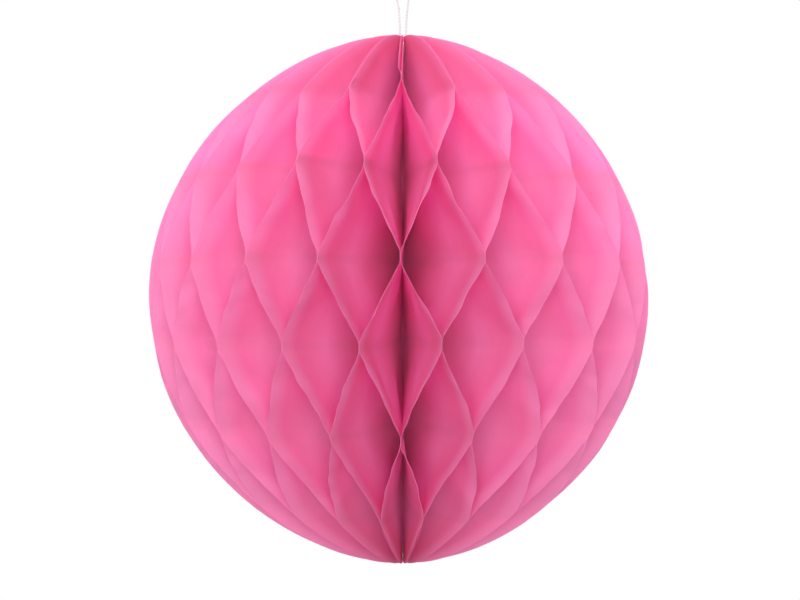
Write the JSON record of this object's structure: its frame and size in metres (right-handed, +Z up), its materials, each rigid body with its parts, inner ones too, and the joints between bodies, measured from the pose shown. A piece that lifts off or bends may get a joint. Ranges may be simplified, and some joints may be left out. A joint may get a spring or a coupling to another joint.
{
  "type": "paper honeycomb ball",
  "caption": "Round tissue paper honeycomb lantern that fans open about its spine and hangs by a thread loop.",
  "frame": {"origin": "the point where the hanging loop bears on its hook, straight above the spine", "axes": "+Z up along the spine, away from the ball; the front faces -Y and the seam of the two covers is at the back"},
  "size_m": [0.0999, 0.0999, 0.1495],
  "materials": {
    "tissue": "matte",
    "cover_card": "matte",
    "adhesive_tab": "satin",
    "thread": "matte"
  },
  "bodies": {
    "core": {"first_cover": "cover_card", "adhesive_tabs": "adhesive_tab", "spine_thread": "thread", "top_knot": "thread", "bottom_knot": "thread", "hanging_loop": "thread"},
    "sheet_01": {"sheet_01": "tissue"},
    "sheet_02": {"sheet_02": "tissue"},
    "sheet_03": {"sheet_03": "tissue"},
    "sheet_04": {"sheet_04": "tissue"},
    "sheet_05": {"sheet_05": "tissue"},
    "sheet_06": {"sheet_06": "tissue"},
    "sheet_07": {"sheet_07": "tissue"},
    "sheet_08": {"sheet_08": "tissue"},
    "sheet_09": {"sheet_09": "tissue"},
    "sheet_10": {"sheet_10": "tissue"},
    "sheet_11": {"sheet_11": "tissue"},
    "sheet_12": {"sheet_12": "tissue"},
    "sheet_13": {"sheet_13": "tissue"},
    "sheet_14": {"sheet_14": "tissue"},
    "sheet_15": {"sheet_15": "tissue"},
    "sheet_16": {"sheet_16": "tissue"},
    "sheet_17": {"sheet_17": "tissue"},
    "sheet_18": {"sheet_18": "tissue"},
    "sheet_19": {"sheet_19": "tissue"},
    "sheet_20": {"sheet_20": "tissue"},
    "sheet_21": {"sheet_21": "tissue"},
    "sheet_22": {"sheet_22": "tissue"},
    "sheet_23": {"sheet_23": "tissue"},
    "sheet_24": {"sheet_24": "tissue"},
    "sheet_25": {"sheet_25": "tissue"},
    "sheet_26": {"sheet_26": "tissue"},
    "sheet_27": {"sheet_27": "tissue"},
    "sheet_28": {"sheet_28": "tissue"},
    "sheet_29": {"sheet_29": "tissue"},
    "sheet_30": {"sheet_30": "tissue"},
    "sheet_31": {"sheet_31": "tissue"},
    "sheet_32": {"sheet_32": "tissue"},
    "sheet_33": {"sheet_33": "tissue"},
    "sheet_34": {"sheet_34": "tissue"},
    "sheet_35": {"sheet_35": "tissue"},
    "sheet_36": {"sheet_36": "tissue"},
    "sheet_37": {"sheet_37": "tissue"},
    "sheet_38": {"sheet_38": "tissue"},
    "sheet_39": {"sheet_39": "tissue"},
    "sheet_40": {"sheet_40": "tissue"},
    "sheet_41": {"sheet_41": "tissue"},
    "last_cover": {"sheet_42": "tissue", "last_cover": "cover_card"}
  },
  "joints": [
    {"name": "sheet_01_turn", "type": "hinge", "parent": "core", "child": "sheet_01", "pos_m": [0, 0, -0.042], "axis": [0, 0, 1], "range_deg": [-8.34, 0]},
    {"name": "sheet_02_turn", "type": "hinge", "parent": "core", "child": "sheet_02", "pos_m": [0, 0, -0.042], "axis": [0, 0, 1], "range_deg": [-16.52, 0]},
    {"name": "sheet_03_turn", "type": "hinge", "parent": "core", "child": "sheet_03", "pos_m": [0, 0, -0.042], "axis": [0, 0, 1], "range_deg": [-24.54, 0]},
    {"name": "sheet_04_turn", "type": "hinge", "parent": "core", "child": "sheet_04", "pos_m": [0, 0, -0.042], "axis": [0, 0, 1], "range_deg": [-32.4, 0]},
    {"name": "sheet_05_turn", "type": "hinge", "parent": "core", "child": "sheet_05", "pos_m": [0, 0, -0.042], "axis": [0, 0, 1], "range_deg": [-40.13, 0]},
    {"name": "sheet_06_turn", "type": "hinge", "parent": "core", "child": "sheet_06", "pos_m": [0, 0, -0.042], "axis": [0, 0, 1], "range_deg": [-47.73, 0]},
    {"name": "sheet_07_turn", "type": "hinge", "parent": "core", "child": "sheet_07", "pos_m": [0, 0, -0.042], "axis": [0, 0, 1], "range_deg": [-55.23, 0]},
    {"name": "sheet_08_turn", "type": "hinge", "parent": "core", "child": "sheet_08", "pos_m": [0, 0, -0.042], "axis": [0, 0, 1], "range_deg": [-62.65, 0]},
    {"name": "sheet_09_turn", "type": "hinge", "parent": "core", "child": "sheet_09", "pos_m": [0, 0, -0.042], "axis": [0, 0, 1], "range_deg": [-70.01, 0]},
    {"name": "sheet_10_turn", "type": "hinge", "parent": "core", "child": "sheet_10", "pos_m": [0, 0, -0.042], "axis": [0, 0, 1], "range_deg": [-77.33, 0]},
    {"name": "sheet_11_turn", "type": "hinge", "parent": "core", "child": "sheet_11", "pos_m": [0, 0, -0.042], "axis": [0, 0, 1], "range_deg": [-84.64, 0]},
    {"name": "sheet_12_turn", "type": "hinge", "parent": "core", "child": "sheet_12", "pos_m": [0, 0, -0.042], "axis": [0, 0, 1], "range_deg": [-91.96, 0]},
    {"name": "sheet_13_turn", "type": "hinge", "parent": "core", "child": "sheet_13", "pos_m": [0, 0, -0.042], "axis": [0, 0, 1], "range_deg": [-99.32, 0]},
    {"name": "sheet_14_turn", "type": "hinge", "parent": "core", "child": "sheet_14", "pos_m": [0, 0, -0.042], "axis": [0, 0, 1], "range_deg": [-106.74, 0]},
    {"name": "sheet_15_turn", "type": "hinge", "parent": "core", "child": "sheet_15", "pos_m": [0, 0, -0.042], "axis": [0, 0, 1], "range_deg": [-114.25, 0]},
    {"name": "sheet_16_turn", "type": "hinge", "parent": "core", "child": "sheet_16", "pos_m": [0, 0, -0.042], "axis": [0, 0, 1], "range_deg": [-121.86, 0]},
    {"name": "sheet_17_turn", "type": "hinge", "parent": "core", "child": "sheet_17", "pos_m": [0, 0, -0.042], "axis": [0, 0, 1], "range_deg": [-129.6, 0]},
    {"name": "sheet_18_turn", "type": "hinge", "parent": "core", "child": "sheet_18", "pos_m": [0, 0, -0.042], "axis": [0, 0, 1], "range_deg": [-137.48, 0]},
    {"name": "sheet_19_turn", "type": "hinge", "parent": "core", "child": "sheet_19", "pos_m": [0, 0, -0.042], "axis": [0, 0, 1], "range_deg": [-145.5, 0]},
    {"name": "sheet_20_turn", "type": "hinge", "parent": "core", "child": "sheet_20", "pos_m": [0, 0, -0.042], "axis": [0, 0, 1], "range_deg": [-153.69, 0]},
    {"name": "sheet_21_turn", "type": "hinge", "parent": "core", "child": "sheet_21", "pos_m": [0, 0, -0.042], "axis": [0, 0, 1], "range_deg": [-162.05, 0]},
    {"name": "sheet_22_turn", "type": "hinge", "parent": "core", "child": "sheet_22", "pos_m": [0, 0, -0.042], "axis": [0, 0, 1], "range_deg": [-170.58, 0]},
    {"name": "sheet_23_turn", "type": "hinge", "parent": "core", "child": "sheet_23", "pos_m": [0, 0, -0.042], "axis": [0, 0, 1], "range_deg": [-179.27, 0]},
    {"name": "sheet_24_turn", "type": "hinge", "parent": "core", "child": "sheet_24", "pos_m": [0, 0, -0.042], "axis": [0, 0, 1], "range_deg": [-188.12, 0]},
    {"name": "sheet_25_turn", "type": "hinge", "parent": "core", "child": "sheet_25", "pos_m": [0, 0, -0.042], "axis": [0, 0, 1], "range_deg": [-197.12, 0]},
    {"name": "sheet_26_turn", "type": "hinge", "parent": "core", "child": "sheet_26", "pos_m": [0, 0, -0.042], "axis": [0, 0, 1], "range_deg": [-206.27, 0]},
    {"name": "sheet_27_turn", "type": "hinge", "parent": "core", "child": "sheet_27", "pos_m": [0, 0, -0.042], "axis": [0, 0, 1], "range_deg": [-215.54, 0]},
    {"name": "sheet_28_turn", "type": "hinge", "parent": "core", "child": "sheet_28", "pos_m": [0, 0, -0.042], "axis": [0, 0, 1], "range_deg": [-224.91, 0]},
    {"name": "sheet_29_turn", "type": "hinge", "parent": "core", "child": "sheet_29", "pos_m": [0, 0, -0.042], "axis": [0, 0, 1], "range_deg": [-234.37, 0]},
    {"name": "sheet_30_turn", "type": "hinge", "parent": "core", "child": "sheet_30", "pos_m": [0, 0, -0.042], "axis": [0, 0, 1], "range_deg": [-243.89, 0]},
    {"name": "sheet_31_turn", "type": "hinge", "parent": "core", "child": "sheet_31", "pos_m": [0, 0, -0.042], "axis": [0, 0, 1], "range_deg": [-253.45, 0]},
    {"name": "sheet_32_turn", "type": "hinge", "parent": "core", "child": "sheet_32", "pos_m": [0, 0, -0.042], "axis": [0, 0, 1], "range_deg": [-263.02, 0]},
    {"name": "sheet_33_turn", "type": "hinge", "parent": "core", "child": "sheet_33", "pos_m": [0, 0, -0.042], "axis": [0, 0, 1], "range_deg": [-272.58, 0]},
    {"name": "sheet_34_turn", "type": "hinge", "parent": "core", "child": "sheet_34", "pos_m": [0, 0, -0.042], "axis": [0, 0, 1], "range_deg": [-282.1, 0]},
    {"name": "sheet_35_turn", "type": "hinge", "parent": "core", "child": "sheet_35", "pos_m": [0, 0, -0.042], "axis": [0, 0, 1], "range_deg": [-291.57, 0]},
    {"name": "sheet_36_turn", "type": "hinge", "parent": "core", "child": "sheet_36", "pos_m": [0, 0, -0.042], "axis": [0, 0, 1], "range_deg": [-300.95, 0]},
    {"name": "sheet_37_turn", "type": "hinge", "parent": "core", "child": "sheet_37", "pos_m": [0, 0, -0.042], "axis": [0, 0, 1], "range_deg": [-310.22, 0]},
    {"name": "sheet_38_turn", "type": "hinge", "parent": "core", "child": "sheet_38", "pos_m": [0, 0, -0.042], "axis": [0, 0, 1], "range_deg": [-319.38, 0]},
    {"name": "sheet_39_turn", "type": "hinge", "parent": "core", "child": "sheet_39", "pos_m": [0, 0, -0.042], "axis": [0, 0, 1], "range_deg": [-328.39, 0]},
    {"name": "sheet_40_turn", "type": "hinge", "parent": "core", "child": "sheet_40", "pos_m": [0, 0, -0.042], "axis": [0, 0, 1], "range_deg": [-337.26, 0]},
    {"name": "sheet_41_turn", "type": "hinge", "parent": "core", "child": "sheet_41", "pos_m": [0, 0, -0.042], "axis": [0, 0, 1], "range_deg": [-345.96, 0]},
    {"name": "fan_opening", "type": "hinge", "parent": "core", "child": "last_cover", "pos_m": [0, 0, -0.042], "axis": [0, 0, 1], "range_deg": [-354.5, 0]}
  ],
  "couplings": [
    {"joint": "sheet_01_turn", "follows": "fan_opening", "ratio": 0.023536},
    {"joint": "sheet_02_turn", "follows": "fan_opening", "ratio": 0.046602},
    {"joint": "sheet_03_turn", "follows": "fan_opening", "ratio": 0.069215},
    {"joint": "sheet_04_turn", "follows": "fan_opening", "ratio": 0.091403},
    {"joint": "sheet_05_turn", "follows": "fan_opening", "ratio": 0.1132},
    {"joint": "sheet_06_turn", "follows": "fan_opening", "ratio": 0.13465},
    {"joint": "sheet_07_turn", "follows": "fan_opening", "ratio": 0.15581},
    {"joint": "sheet_08_turn", "follows": "fan_opening", "ratio": 0.17673},
    {"joint": "sheet_09_turn", "follows": "fan_opening", "ratio": 0.19748},
    {"joint": "sheet_10_turn", "follows": "fan_opening", "ratio": 0.21813},
    {"joint": "sheet_11_turn", "follows": "fan_opening", "ratio": 0.23875},
    {"joint": "sheet_12_turn", "follows": "fan_opening", "ratio": 0.2594},
    {"joint": "sheet_13_turn", "follows": "fan_opening", "ratio": 0.28017},
    {"joint": "sheet_14_turn", "follows": "fan_opening", "ratio": 0.30111},
    {"joint": "sheet_15_turn", "follows": "fan_opening", "ratio": 0.32228},
    {"joint": "sheet_16_turn", "follows": "fan_opening", "ratio": 0.34376},
    {"joint": "sheet_17_turn", "follows": "fan_opening", "ratio": 0.36559},
    {"joint": "sheet_18_turn", "follows": "fan_opening", "ratio": 0.3878},
    {"joint": "sheet_19_turn", "follows": "fan_opening", "ratio": 0.41045},
    {"joint": "sheet_20_turn", "follows": "fan_opening", "ratio": 0.43355},
    {"joint": "sheet_21_turn", "follows": "fan_opening", "ratio": 0.45712},
    {"joint": "sheet_22_turn", "follows": "fan_opening", "ratio": 0.48117},
    {"joint": "sheet_23_turn", "follows": "fan_opening", "ratio": 0.50569},
    {"joint": "sheet_24_turn", "follows": "fan_opening", "ratio": 0.53066},
    {"joint": "sheet_25_turn", "follows": "fan_opening", "ratio": 0.55606},
    {"joint": "sheet_26_turn", "follows": "fan_opening", "ratio": 0.58186},
    {"joint": "sheet_27_turn", "follows": "fan_opening", "ratio": 0.608},
    {"joint": "sheet_28_turn", "follows": "fan_opening", "ratio": 0.63444},
    {"joint": "sheet_29_turn", "follows": "fan_opening", "ratio": 0.66112},
    {"joint": "sheet_30_turn", "follows": "fan_opening", "ratio": 0.68798},
    {"joint": "sheet_31_turn", "follows": "fan_opening", "ratio": 0.71494},
    {"joint": "sheet_32_turn", "follows": "fan_opening", "ratio": 0.74194},
    {"joint": "sheet_33_turn", "follows": "fan_opening", "ratio": 0.76891},
    {"joint": "sheet_34_turn", "follows": "fan_opening", "ratio": 0.79578},
    {"joint": "sheet_35_turn", "follows": "fan_opening", "ratio": 0.82247},
    {"joint": "sheet_36_turn", "follows": "fan_opening", "ratio": 0.84894},
    {"joint": "sheet_37_turn", "follows": "fan_opening", "ratio": 0.8751},
    {"joint": "sheet_38_turn", "follows": "fan_opening", "ratio": 0.90093},
    {"joint": "sheet_39_turn", "follows": "fan_opening", "ratio": 0.92636},
    {"joint": "sheet_40_turn", "follows": "fan_opening", "ratio": 0.95136},
    {"joint": "sheet_41_turn", "follows": "fan_opening", "ratio": 0.97592}
  ]
}
